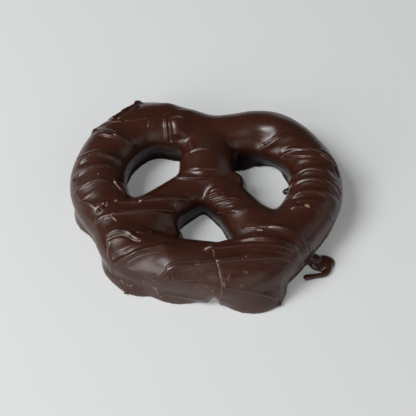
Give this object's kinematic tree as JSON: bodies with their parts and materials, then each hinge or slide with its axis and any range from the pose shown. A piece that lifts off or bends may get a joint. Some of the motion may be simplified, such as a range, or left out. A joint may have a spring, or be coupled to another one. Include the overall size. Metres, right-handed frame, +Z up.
{
  "type": "chocolate covered pretzel",
  "caption": "Baked pretzel dipped in dark chocolate, with ridges of drizzle, open loops, a pooled skirt and a small drip. It lies flat on its base.",
  "frame": {"origin": "middle of the piece's box on the plan, at the flat underside it lies on", "axes": "+X along the line between the side loops, -Y towards the fat belly of the rope, +Z up from the face it lies on"},
  "size_m": [0.0978, 0.0815, 0.0189],
  "materials": {
    "dark_chocolate": "satin dark chocolate, slightly bloomed where it was rubbed",
    "baked_crumb": "dry tan pretzel crumb"
  },
  "bodies": {
    "root": {"coated_pretzel": "dark_chocolate"}
  },
  "joints": []
}
